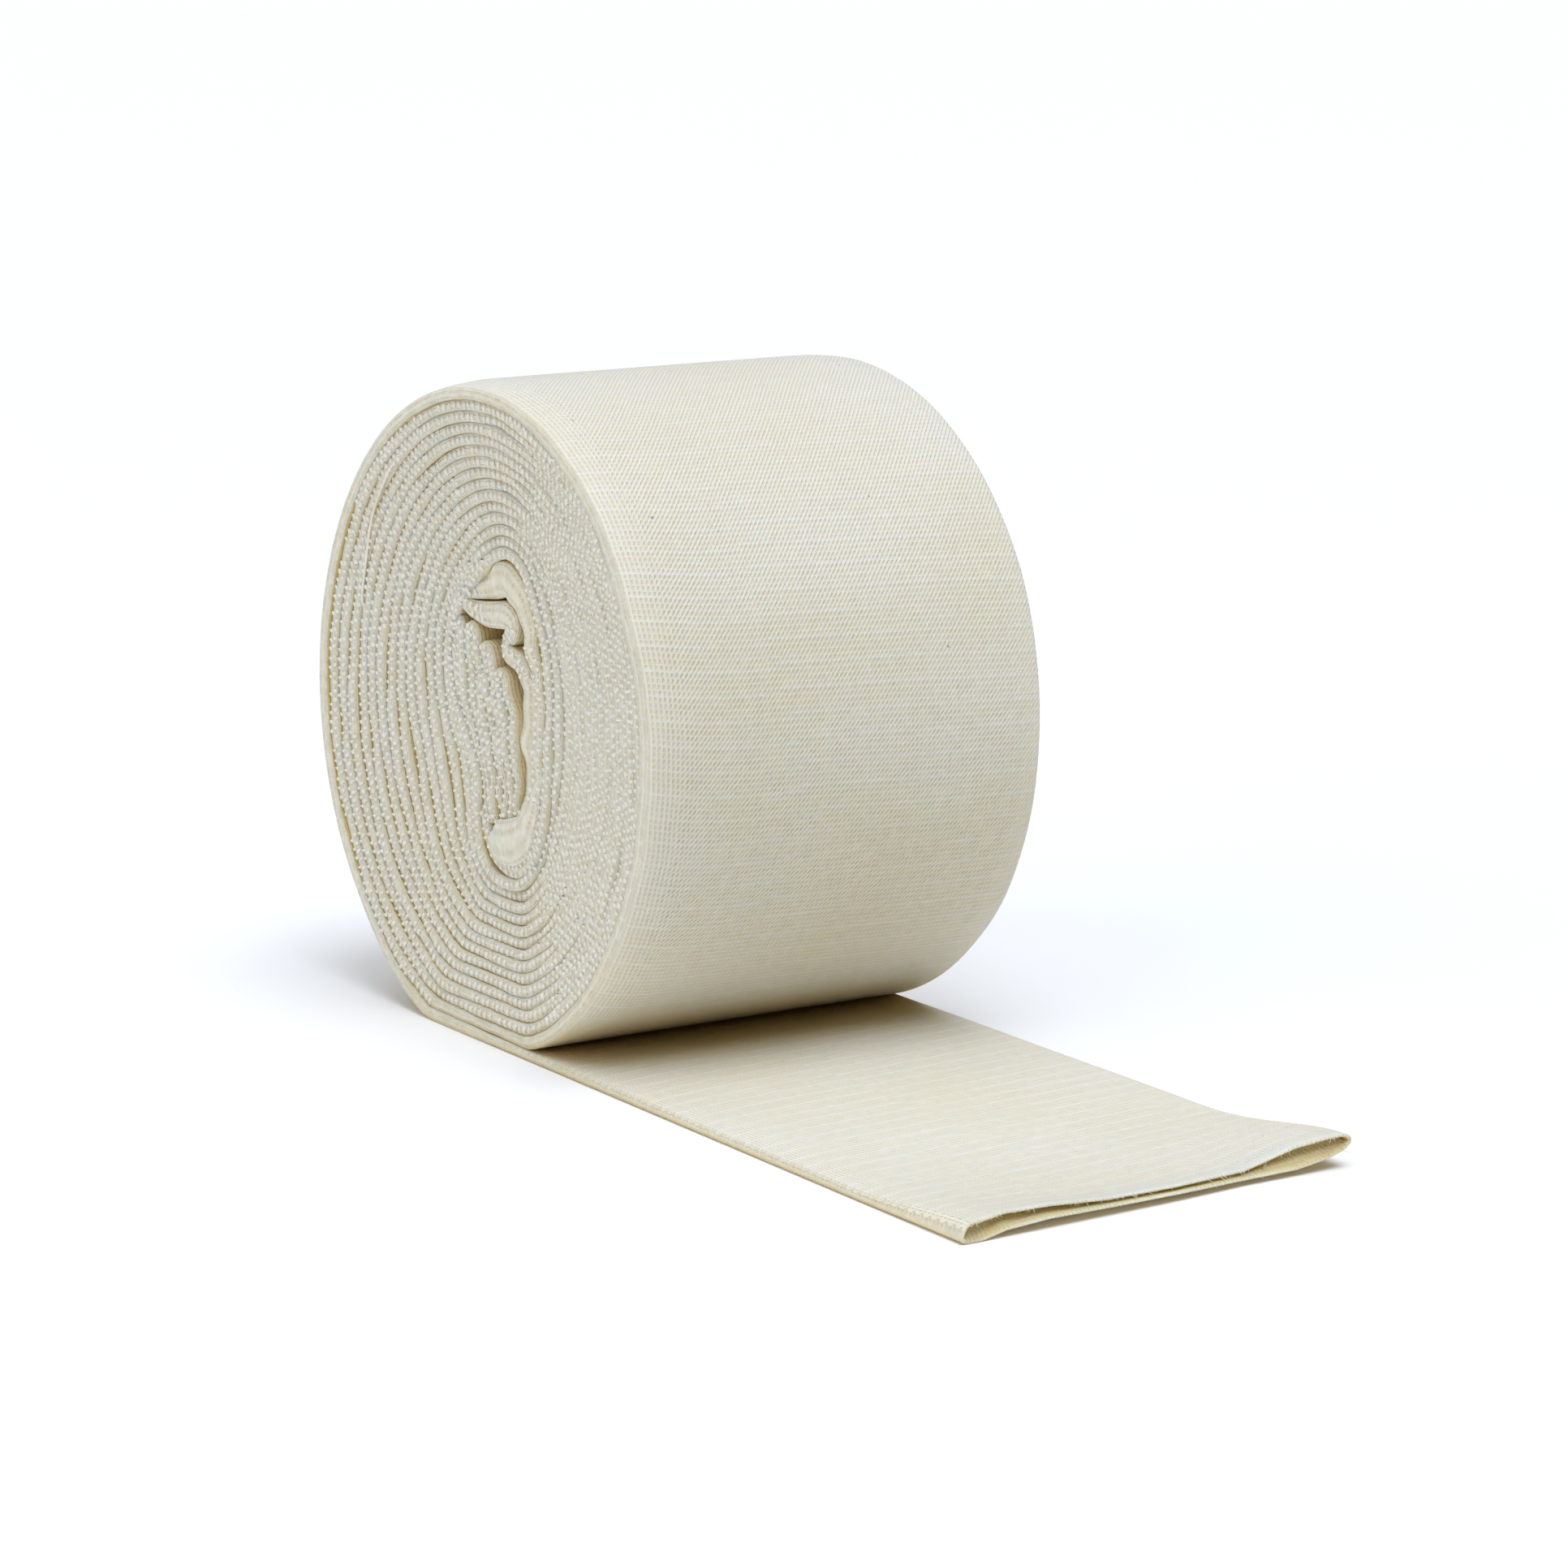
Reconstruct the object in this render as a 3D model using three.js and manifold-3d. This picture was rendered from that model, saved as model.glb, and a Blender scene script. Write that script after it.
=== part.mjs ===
// Tubular support bandage, rolled up on itself, with its cut end pulled out along the table.
// One seamless knitted tube, pressed flat to a double layer, wound round its own folded start.
// Millimetres. X runs along the roll's axis, the pulled-out end lies towards -Y, and +Z is up.
import * as THREE from 'three';
import { mergeVertices } from 'three/addons/utils/BufferGeometryUtils.js';
import Module from 'manifold-3d';

// Driving dimensions of the flattened tube
const TUBE_WIDTH = 75;
const LAYER = 1.65;
const FOLD_ROUNDING = 0.8;

// Driving dimensions of the roll, measured from its axis
const AXIS_HEIGHT = 54;
const OUTER_REACH = 55.6;
const OUTER_RISE = 56.7;
const REACH_PITCH = 2.75;
const REACH_LEAD = 0.4;
const RISE_PITCH = 1.946;
const UNDER_PITCH = 1.8;
const TURNS = 13;
const LAYER_FILL = 0.82;
const END_TAPER = 0.035;

// The left end is dished: each turn sits a little deeper than the one round it
const DISH_DEPTH = 6;
const GROOVE_DEPTH = 0.7;

// The inner turns are pushed in at the lower back, the more the nearer they are to the core
const DENT = { shift: 7, angle: 1.3, spread: 0.5, growth: 4 };

// The pulled-out end: its cut edge, and the far corner that curls off the table
const TAIL_REACH = 136;
const CURL = { rise: 3.6, from: 103, inner: 4 };
const MOUTH = { gape: 1.2, from: 118, inner: 14 };

// The folded start of the tube: upright ovals in the middle of the roll, standing out of the dish
const CORE_FOLDS = [
  { reach: 15, rise: 26.5, shiftReach: 2.5, shiftRise: 0, recess: 5.2, bevel: 1.2 },
  { reach: 9, rise: 20, shiftReach: 1.5, shiftRise: -2, recess: 4.2, bevel: 2 },
];

// Mesh steps
const STEPS_PER_TURN = 24;
const STEPS_PER_FOLD = 20;
const TAIL_STATIONS = [TAIL_REACH, 130, 124, 118, 110, 103, 80, 50, 25, 12];
const CLOTH_COLUMNS = [-0.5, 0.1, 0.45, 0.75];
const END_FACE_TURNS = [0, 3, 6, 9, 12];

const HALF_WIDTH = TUBE_WIDTH / 2;
const HALF_LAYER = LAYER / 2;
const FULL_TURN = 2 * Math.PI;
const QUARTER_TURN = 0.25;
// The roll's back, and the place of its axis that puts the origin under the middle of the whole box
const BACK_MIDDLE = OUTER_REACH - REACH_PITCH * (QUARTER_TURN + REACH_LEAD);
const BACK_REACH = (BACK_MIDDLE + LAYER_FILL * REACH_PITCH / 2) * (1 + END_TAPER);
const AXIS_Y = (TAIL_REACH - BACK_REACH) / 2;

// Middle of the cloth after a count of turns from the floor: forward of the axis, and above the floor.
// Turns shrink evenly to an upright oval, rest in a stack on the floor, and dent at the lower back.
function clothMiddle(turns) {
  const angle = FULL_TURN * turns;
  const reach = OUTER_REACH - REACH_PITCH * (turns + REACH_LEAD);
  const rise = OUTER_RISE - HALF_LAYER - RISE_PITCH * turns;
  const off = (angle % FULL_TURN) - DENT.angle;
  const dent = DENT.shift * (turns / TURNS) ** DENT.growth * Math.exp(-((off / DENT.spread) ** 2));
  const height = AXIS_HEIGHT - rise * Math.cos(angle);
  return {
    forward: -reach * Math.sin(angle) + dent,
    height: Math.max(height, HALF_LAYER + UNDER_PITCH * turns),
  };
}

// Thickness of the double layer: it fills most of the room between two turns, and is whole on the floor
function clothThickness(turns) {
  const angle = FULL_TURN * turns;
  const upright = Math.cos(angle) > 0 ? UNDER_PITCH : RISE_PITCH;
  const room = Math.hypot(REACH_PITCH * Math.sin(angle), upright * Math.cos(angle));
  return Math.max(LAYER_FILL * room, turns < QUARTER_TURN ? LAYER : 0);
}

// How far the left fold sits inside the roll's left end
function foldRecess(turns) {
  return DISH_DEPTH * turns / TURNS;
}

// The roll is a little wider towards its right end
function tapered(forward, x) {
  return forward * (1 + END_TAPER * x / HALF_WIDTH);
}

// Nothing before the start, one at the end, and a soft curve upwards between
function smooth(value, start, end) {
  const t = THREE.MathUtils.clamp((value - start) / (end - start), 0, 1);
  return t * t;
}

// Lift of the pulled-out end off the table, over the whole layer and over its top ply only
function tailLift(x, forward, isTop) {
  const curl = CURL.rise * smooth(forward, CURL.from, TAIL_REACH) * smooth(x, CURL.inner, HALF_WIDTH);
  const gape = MOUTH.gape * smooth(forward, MOUTH.from, TAIL_REACH) * smooth(-x, MOUTH.inner, HALF_WIDTH);
  return curl + (isTop ? gape : 0);
}

// Section of the flattened tube as [x, share of half the thickness], once round from the left fold
function clothSection(leftRecess) {
  const left = -HALF_WIDTH + leftRecess;
  const middle = left / 2 + HALF_WIDTH / 2;
  const half = HALF_WIDTH - leftRecess / 2;
  const columns = CLOTH_COLUMNS.map((share) => middle + share * half);
  const top = [left + FOLD_ROUNDING, ...columns, HALF_WIDTH - FOLD_ROUNDING];
  return [
    [left, 0],
    ...top.map((x) => [x, 1]),
    [HALF_WIDTH, 0],
    ...top.toReversed().map((x) => [x, -1]),
  ];
}

// A closed mesh from rings of points with the same count, each end closed by a fan
function loft(rings) {
  const count = rings[0].length;
  const points = rings.flat();
  const index = [];
  for (let r = 0; r < rings.length - 1; r += 1) {
    for (let i = 0; i < count; i += 1) {
      const a = r * count + i;
      const b = r * count + (i + 1) % count;
      index.push(a, b, b + count, a, b + count, a + count);
    }
  }
  for (const [ring, base] of [[rings[0], 0], [rings.at(-1), (rings.length - 1) * count]]) {
    const centre = ring.reduce((sum, p) => sum.clone().add(p), new THREE.Vector3()).divideScalar(count);
    points.push(centre);
    for (let i = 0; i < count; i += 1) {
      const a = base + i;
      const b = base + (i + 1) % count;
      index.push(...(base === 0 ? [b, a, points.length - 1] : [a, b, points.length - 1]));
    }
  }
  const geometry = new THREE.BufferGeometry().setFromPoints(points);
  geometry.setIndex(index);
  return geometry;
}

function toPoint(x, forward, height) {
  return new THREE.Vector3(x, AXIS_Y - forward, height);
}

// The cloth from its cut edge, along the table, under the roll and round to the core
function clothBand() {
  const tail = TAIL_STATIONS.map((forward) => ({ forward, height: HALF_LAYER, turns: 0, onTable: true }));
  const count = TURNS * STEPS_PER_TURN;
  const wound = Array.from({ length: count + 1 }, (_, i) => {
    const turns = i / STEPS_PER_TURN;
    return { ...clothMiddle(turns), turns, onTable: false };
  });
  const path = [...tail, ...wound];
  const rings = path.map((here, i) => {
    const before = path[Math.max(i - 1, 0)];
    const after = path[Math.min(i + 1, path.length - 1)];
    const run = Math.hypot(after.forward - before.forward, after.height - before.height);
    const innerForward = (after.height - before.height) / run;
    const innerHeight = -(after.forward - before.forward) / run;
    const half = clothThickness(here.turns) / 2;
    return clothSection(foldRecess(here.turns)).map(([x, share]) => {
      const offset = share * half;
      if (here.onTable) {
        const lift = tailLift(x, here.forward, share > 0);
        return toPoint(x, here.forward, here.height + offset + lift);
      }
      const forward = here.forward + innerForward * offset;
      return toPoint(x, tapered(forward, x), Math.max(here.height + innerHeight * offset, 0));
    });
  });
  return loft(rings);
}

// The wound form behind the folds: one-turn loops of the cloth's middle, stepped in with the dish
function woundForm() {
  const loop = (startTurns, xOf) => Array.from({ length: STEPS_PER_TURN }, (_, i) => {
    const turns = startTurns + i / STEPS_PER_TURN;
    const { forward, height } = clothMiddle(turns);
    const x = xOf(turns);
    return toPoint(x, tapered(forward, x), height);
  });
  const leftX = (turns) => -HALF_WIDTH + foldRecess(turns) + GROOVE_DEPTH;
  const rightX = () => HALF_WIDTH - GROOVE_DEPTH;
  const leftLoops = END_FACE_TURNS.toReversed().map((turns) => loop(turns, leftX));
  const rightLoops = END_FACE_TURNS.map((turns) => loop(turns, rightX));
  return loft([...leftLoops, ...rightLoops]);
}

// One fold of the tube's start: an upright oval across the roll, with soft edges at both ends
function foldedStart(fold) {
  const loop = (x, inset) => Array.from({ length: STEPS_PER_FOLD }, (_, i) => {
    const angle = FULL_TURN * i / STEPS_PER_FOLD;
    const forward = fold.shiftReach - (fold.reach - inset) * Math.sin(angle);
    const height = AXIS_HEIGHT + fold.shiftRise - (fold.rise - inset) * Math.cos(angle);
    return toPoint(x, forward, height);
  });
  const left = -HALF_WIDTH + fold.recess;
  const right = HALF_WIDTH - (fold.recess - CORE_FOLDS.at(-1).recess);
  return loft([
    loop(left, fold.bevel),
    loop(left + fold.bevel, 0),
    loop(right - fold.bevel, 0),
    loop(right, fold.bevel),
  ]);
}

const wasm = await Module();
wasm.setup();

function toSolid(geometry) {
  const merged = mergeVertices(geometry);
  return new wasm.Manifold(new wasm.Mesh({
    numProp: 3,
    vertProperties: new Float32Array(merged.attributes.position.array),
    triVerts: new Uint32Array(merged.index.array),
  }));
}

function toGeometry(solid) {
  const mesh = solid.getMesh();
  const geometry = new THREE.BufferGeometry();
  geometry.setAttribute('position', new THREE.BufferAttribute(mesh.vertProperties, 3));
  geometry.setIndex(new THREE.BufferAttribute(mesh.triVerts, 1));
  geometry.computeVertexNormals();
  return geometry;
}

const knittedCotton = new THREE.MeshStandardMaterial({ color: 0xe9e5d6, roughness: 0.95, metalness: 0 });

const windings = [woundForm(), clothBand(), ...CORE_FOLDS.map(foldedStart)].map(toSolid);
const rolledTube = windings.reduce((joined, winding) => joined.add(winding));
const bandage = new THREE.Mesh(toGeometry(rolledTube), knittedCotton);
bandage.name = 'tubular_bandage';

const part = new THREE.Group();
part.add(bandage);

export default part;
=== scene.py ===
"""Rolled tubular support bandage: a seamless elasticated cotton tube with its cut end pulled out."""
import math
from functools import partial

import bpy
import numpy as np
from mathutils import Matrix, Vector


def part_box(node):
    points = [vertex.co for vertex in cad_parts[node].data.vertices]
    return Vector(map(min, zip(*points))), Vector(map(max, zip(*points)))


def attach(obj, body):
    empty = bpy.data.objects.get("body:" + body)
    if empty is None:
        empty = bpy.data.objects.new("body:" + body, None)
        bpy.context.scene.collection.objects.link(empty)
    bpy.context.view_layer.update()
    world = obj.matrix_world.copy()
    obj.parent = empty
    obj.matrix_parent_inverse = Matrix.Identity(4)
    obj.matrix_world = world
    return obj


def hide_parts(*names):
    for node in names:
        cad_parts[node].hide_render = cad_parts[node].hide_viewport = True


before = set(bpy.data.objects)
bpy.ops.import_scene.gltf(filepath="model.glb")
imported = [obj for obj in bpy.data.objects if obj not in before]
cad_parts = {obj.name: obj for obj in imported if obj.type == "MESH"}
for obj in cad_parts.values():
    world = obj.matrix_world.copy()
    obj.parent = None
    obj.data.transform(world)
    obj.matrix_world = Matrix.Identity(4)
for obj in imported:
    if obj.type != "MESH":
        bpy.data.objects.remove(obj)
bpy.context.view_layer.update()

bl_info = {
    "name": "Tubular bandage roll",
    "version": (1, 0, 0),
    "blender": (4, 5, 0),
    "location": "3D View > Sidebar > Bandage",
    "description": "Builds a rolled tubular support bandage with its knit, loose threads and studio stage",
    "category": "Add Mesh",
}

CLOTH_LOW, CLOTH_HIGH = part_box("tubular_bandage")
MM = 0.001
FULL_TURN = 2 * math.pi
LENGTH = {"unit": "LENGTH", "subtype": "DISTANCE"}

# The wound turns, in millimetres from the roll's axis, as in the solid
AXIS_HEIGHT = 54.0
OUTER_REACH = 55.6
OUTER_RISE = 56.7
REACH_PITCH = 2.75
REACH_LEAD = 0.4
RISE_PITCH = 1.946
UNDER_PITCH = 1.8
END_TAPER = 0.035
TAIL_REACH = 136.0
AXIS_Y = CLOTH_LOW.y / MM + TAIL_REACH
HALF_WIDTH = (CLOTH_HIGH.x - CLOTH_LOW.x) / MM / 2

# Turns up to the folded start, the left end's dish, and the bells that shift the inner turns: millimetres and
# radians. The bells grow towards the core by the last power
WOUND_TURNS = 14.62
DISH = {"depth": 6.0, "turns": 13.0, "step_out": 0.45}
PUSH = {"shift": 5.4, "angle": 1.17, "spread": 0.34}
BULGE = {"shift": -4.6, "angle": 1.95, "spread": 0.5}
CORE_GROWTH = 2.6

# How the turns lean in towards the axis at the left and right rims, and the radii and heights this grows over
RIMS = ({"side": 1, "width": 9.0, "droop": 1.1}, {"side": -1, "width": 6.0, "droop": 0.6})
RIM_RADIUS = (14.0, 50.0)
RIM_HEIGHT = (1.0, 16.0)

# The folded start of the tube, in order from the last wound turn to its cut end: the way in round the bottom,
# the pleats packed side by side, and the flap over them that comes down the front again.
# Forward of the axis, height over the axis, thickness, and recess of the left fold
WAY_IN = (
    (12.8, 14.0, 2.6, 5.3), (14.3, 6.0, 2.6, 5.3), (14.4, -2.0, 2.6, 5.2), (13.8, -10.0, 2.6, 5.1),
    (12.0, -17.0, 2.8, 5.1), (8.6, -22.6, 3.0, 5.4), (3.4, -25.4, 3.2, 6.0), (-1.2, -25.2, 3.2, 6.2),
    (-4.9, -22.9, 3.0, 6.0), (-7.0, -19.6, 2.8, 5.9),
)
OVER_AND_OUT = (
    (4.8, -14.0, 5.0, 6.9), (5.1, -6.0, 5.4, 6.9), (5.2, 0.0, 5.2, 6.9), (5.6, 5.0, 4.4, 6.9),
    (3.2, 9.2, 3.4, 6.8), (-1.0, 10.6, 3.4, 6.6), (-2.8, 12.4, 3.2, 6.5), (-0.6, 13.6, 3.8, 6.3),
    (1.6, 15.0, 4.2, 6.1), (-0.6, 17.0, 4.8, 6.1), (-4.8, 16.4, 4.6, 6.3), (-9.2, 16.2, 4.0, 6.0),
    (-12.6, 17.0, 3.0, 5.6), (-13.2, 19.2, 2.6, 5.4), (-10.4, 20.4, 3.8, 5.9), (-6.2, 21.6, 5.8, 6.1),
    (-2.0, 23.1, 6.2, 5.6), (2.6, 22.0, 6.0, 5.1), (6.9, 17.6, 4.8, 5.0), (9.4, 11.4, 3.6, 5.0),
    (11.0, 4.4, 3.5, 5.1), (11.4, -1.6, 3.5, 5.2), (11.0, -8.0, 3.7, 5.1), (10.0, -13.0, 4.4, 5.0),
    (7.4, -17.4, 6.2, 4.8), (3.2, -20.4, 7.8, 4.6), (-1.6, -21.0, 7.8, 4.7), (-5.0, -19.8, 5.6, 5.6),
    (-5.8, -17.6, 3.4, 9.0), (-4.6, -16.2, 2.0, 14.0),
)
# The pleats' share of the way up, forward place of the left and of the right pleat there, and recess
PLEAT_EDGES = (
    (0.0, -8.4, 2.6, 6.0), (0.25, -9.8, 2.8, 5.8), (0.42, -12.9, 2.6, 5.7),
    (0.58, -15.3, 2.1, 5.6), (0.8, -16.9, 1.1, 5.5), (1.0, -17.0, -0.6, 5.5),
)
PLEAT_BOTTOMS = (-17.6, -18.2, -18.0, -18.2, -18.0, -18.2, -17.8, -17.4)
PLEAT_TOPS = (13.8, 14.2, 13.6, 12.8, 11.2, 9.4, 7.4, 6.0)
PLEAT_FILL = 1.15

# Points on the pulled-out end, to a turn, and to a stretch of the folded start, then the even spacing in
# millimetres and how many neighbours on each side a point is smoothed with
ROUTE = {"tail": 300, "turn": 240, "stretch": 24, "spacing": 0.25, "neighbours": 9}
# Shares of the width where each ply has its points, and steps round the left and the right fold
FLAT_SHARES = (0, 0.01, 0.035, 0.09, 0.2, 0.36, 0.55, 0.74, 0.88, 0.96, 0.99, 1)
LEFT_STEPS, FLAT_STEPS, RIGHT_STEPS = 5, len(FLAT_SHARES) - 1, 4

# Spans along the cloth over which it changes, in millimetres from its cut end. Those below nought count back
# from its cut start
SPANS = {
    "close_rings": (32.0, 48.0), "close_core": (-420.0, -380.0), "open_fold": (0.0, 30.0),
    "tail": (TAIL_REACH - 40.0, TAIL_REACH - 10.0), "taper": (TAIL_REACH - 8.0, TAIL_REACH + 16.0),
    "hand_rolled": (150.0, 560.0), "core": (-330.0, -240.0), "under_turn": (130.0, 200.0),
    "outermost": (440.0, 520.0), "over_turn": (400.0, 520.0), "cut": (0.8, 2.4), "soft_tail": (95.0, 135.0),
    "soft_core": (3640.0, 3700.0), "plain_tail": (110.0, 150.0),
}

# Unevenness of hand rolling: seed, size in millimetres or as a share, and lengths of its waves in millimetres
UNEVEN = {
    "left_fold": (1, 0.22, (83.0, 47.0, 29.0)), "left_fold_fine": (2, 0.1, (15.0, 11.3, 9.1)),
    "core_fold": (3, 0.3, (14.0, 9.0, 6.0)), "thickness": (4, 0.05, (53.0, 31.0, 19.0)),
    "right_fold": (5, 0.2, (87.0, 53.0, 141.0)), "cut_edge": (6, 0.55, (9.0, 5.2, 3.7)),
}

# How the side folds' rounding grows: with the room beside a thin turn, in the thick core, and at the mouth
FOLD_GROWTH = {"loose": 0.3, "room": (-0.3, 1.2), "puffed": 0.9, "thick": (3.4, 5.4), "mouth": 1.1}

# The pulled-out end in millimetres: forward of the axis, and across from the middle. Bells are a middle and
# a width
CURL = {"from": 98.0, "inner": 2.0, "grows": 1.2, "bends": 1.7}
PRESSED = {"depth": 0.4, "from": 112.0}
TROUGH = {"depth": 0.5, "forward": (104.0, 14.0), "across": (-20.0, 8.0)}
MOUTH = {"from": 106.0, "grows": 1.3, "near": (-34.0, 17.0), "far": (30.0, 9.0), "far_share": 0.75,
         "drop": 1.1, "dropped": (30.0, 7.0), "wall": 4.5, "shut_by": 3.2, "rim": 0.12}
CUT_EDGE = {"from": 124.0, "rise": 1.2, "rises": ((-37.0, -22.0), (8.0, 20.0)),
            "slant": 0.4, "crumples": ((-34.0, -26.0), (6.0, 16.0))}
EDGE_LINE = {"from": 118.0, "bells": ((0.35, -24.0, 12.0), (-1.2, 21.0, 14.0)), "corner": 0.3,
             "corner_from": (24.0, 37.0), "set_back": 1.0, "sets_back": ((-36.0, -28.0), (24.0, 36.0))}

# Rings of inner wall at the tube's cut start
START_WALL = 8
# Painted shade between two turns beside their folds, where shade falls: millimetres from the fold, and
# strengths of the shade (the depths)
GROOVE_SHADE = {"power": 3, "near_fold": (1.5, 5.0), "depth": 0.4, "outermost": 1.2}

# The proud stitches on the side folds: millimetres along the cloth, thicknesses of the folded tube, shares of
# the pitch and of half the thickness, and degrees round the fold
BEADS = {"from": 490.0, "doubled_over": 2.3, "soft_over": 4.2, "shifted": 0.1, "missing": 0.05,
         "line_at": 32.0, "wanders": 7.0, "doubled_half": 27.0, "single_half": 40.0, "proud": 0.9,
         "lean": 0.15, "size": (0.85, 1.2), "lowest": 0.3, "sides": 4, "seed": 20}
BEAD_SWELL = (0.5, 1.0, 1.0, 0.5)

# The loose thread on the left end: its bends, forward of the axis and over it, and its measures
THREAD_BENDS = ((-26.4, 40.8), (-30.3, 36.2), (-33.5, 31.9), (-36.0, 27.1), (-37.6, 21.8), (-39.2, 16.1),
                (-40.0, 11.1))
THREAD = {"radius": 0.2, "proud": 0.85, "tucked": 1.2, "tucked_share": 0.06, "steps": 8, "sides": 6}

# The hairs on the cut edge: how many on each ply, and their measures in millimetres or as shares
FIBRES = {"upper": 420, "lower": 60, "clear_of_folds": 0.01, "shape": 2.6, "scale": 0.13,
          "length": (0.1, 0.9), "upper_down": (0.25, 0.2), "lower_down": (-0.1, 0.3), "sideways": 0.35,
          "bend": 0.4, "droop": 0.15, "root": 0.3, "lowest": 0.06, "sides": 3, "seed": 11}
FIBRE_RADII = (0.06, 0.055, 0.05, 0.04, 0.02)
# A line that no strand runs along, to turn the strands' sections by
SLANTED = (0.31, 0.52, 0.79)

# How far the knit's rows bow down from the left fold, their slope beyond, and how far they wobble
BOW = {"width": 23.5, "left": 2.4, "slope": 0.04, "wobble": 0.35}
# The roll's top, in millimetres along the cloth, and how far from it the gaps' painted shade grows stronger:
# it is weakest where the light falls straight on the top
TOP_LIGHT = {"at": 275.0, "away": (50.0, 130.0)}
# The two rows of dashes beside the pulled-out end's left fold: their middle, and half the way apart
DASHES = {"middle": 1.3, "half_apart": 0.55}
# How many patches of each kind fit in a metre of cloth
PATCHES = {"wobble": 35.0, "step": 14.0, "line": 60.0, "tint": 26.0, "streak": (14.0, 330.0, 1.0),
           "crease": 420.0, "stitch": 500.0, "speck": 240.0, "rare": 150.0, "fuzz": 3000.0, "yarn": 420.0}

# The studio's soft lights: name, azimuth from -Y towards +X, elevation, spread, strength and colour
LIGHTS = (
    ("overhead_softbox", 0, 88, 70, 1.62, "#F0F6FF"),
    ("raised_front_softbox", 0, 70, 40, 1.52, "#F2F6FF"),
    ("left_fill", -90, 30, 60, 0.90, "#F6F8FF"),
)
# The property that holds a kind of node's mode
NODE_MODES = {"Math": "operation", "MapRange": "interpolation_type", "Mix": "data_type"}
# Half the floor's side in metres, and the photo's whole frame in pixels
FLOOR_HALF = 6.0
FRAME_PIXELS = 1932.0


def linear(hex_colour):
    """sRGB hex colour as linear RGBA: each channel raised by the sRGB curve."""
    channels = [int(hex_colour[i:i + 2], 16) / 255 for i in (1, 3, 5)]
    return [c / 12.92 if c <= 0.04045 else ((c + 0.055) / 1.055) ** 2.4 for c in channels] + [1.0]


class ClothSizes(bpy.types.PropertyGroup):
    layer: bpy.props.FloatProperty(
        name="Double layer", description="Thickness of the tube pressed flat", default=0.00165, **LENGTH)
    ply: bpy.props.FloatProperty(
        name="Ply", description="Thickness of the knit itself at the open end", default=0.0005, **LENGTH)
    fold: bpy.props.FloatProperty(
        name="Fold", description="How far a side fold's rounding reaches into the cloth", default=0.00036,
        **LENGTH)
    fill: bpy.props.FloatProperty(
        name="Fill", description="Share of the room between two turns that the cloth fills", default=1.1,
        subtype="FACTOR", min=0.5, max=1.2)
    ring_step: bpy.props.FloatProperty(
        name="Ring step", description="Distance between two rings of the mesh round the outer turns",
        default=0.0021, **LENGTH)
    fine_step: bpy.props.FloatProperty(
        name="Fine ring step", description="Distance between two rings at the cut end and in the core",
        default=0.0011, **LENGTH)
    curl: bpy.props.FloatProperty(
        name="Corner curl", description="How high the far corner of the cut end lifts", default=0.0036,
        **LENGTH)
    gape: bpy.props.FloatProperty(
        name="Mouth", description="How far the plies part at the near corner of the cut end", default=0.0021,
        **LENGTH)
    bead_pitch: bpy.props.FloatProperty(
        name="Fold stitch pitch", description="Distance between the proud stitches along a side fold",
        default=0.00162, **LENGTH)
    bead: bpy.props.FloatProperty(
        name="Fold stitch", description="Thickness of the yarn where it turns round a side fold",
        default=0.00078, **LENGTH)


class KnitFinish(bpy.types.PropertyGroup):
    wale: bpy.props.FloatProperty(
        name="Wale pitch", description="Width of one column of stitches", default=0.00078, **LENGTH)
    course: bpy.props.FloatProperty(
        name="Course pitch", description="Height of one row of stitches", default=0.00097, **LENGTH)
    courses_per_elastic: bpy.props.IntProperty(
        name="Rows per elastic", description="Rows of stitches from one laid-in elastic to the next",
        default=4)
    cotton: bpy.props.StringProperty(
        name="Cotton", description="sRGB hex colour of the unbleached cotton", default="#F2EAD3")
    cotton_pale: bpy.props.StringProperty(
        name="Pale cotton", description="sRGB hex colour of its paler patches", default="#F5EFDE")
    yarn: bpy.props.StringProperty(
        name="Yarn", description="sRGB hex colour of single strands", default="#F8F3E6")
    elastic: bpy.props.StringProperty(
        name="Elastic", description="sRGB hex colour of the covered elastic", default="#FCFAF3")
    # Partly the knit's own darker gaps and partly painted shade; it also paints the shade on the folds'
    # crests and in the grooves between turns
    gap: bpy.props.StringProperty(
        name="Between stitches", description="sRGB hex colour deep between the stitches", default="#CDC199")
    # Painted shade inside the tube: warmer and darker, standing for the light that passes through the ply and
    # bounces inside
    inside: bpy.props.StringProperty(
        name="Inside", description="sRGB hex colour inside the tube", default="#E6D5A0")
    # Painted shade deep in crevices and grooves: warmer and darker, standing for light bouncing between cloth
    # surfaces there
    crevice_shade: bpy.props.StringProperty(
        name="Crevice", description="sRGB hex colour where the cloth is folded deep into itself",
        default="#E6CC86")
    fleck: bpy.props.StringProperty(
        name="Fleck", description="sRGB hex colour of the few seed specks", default="#75694A")


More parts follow.
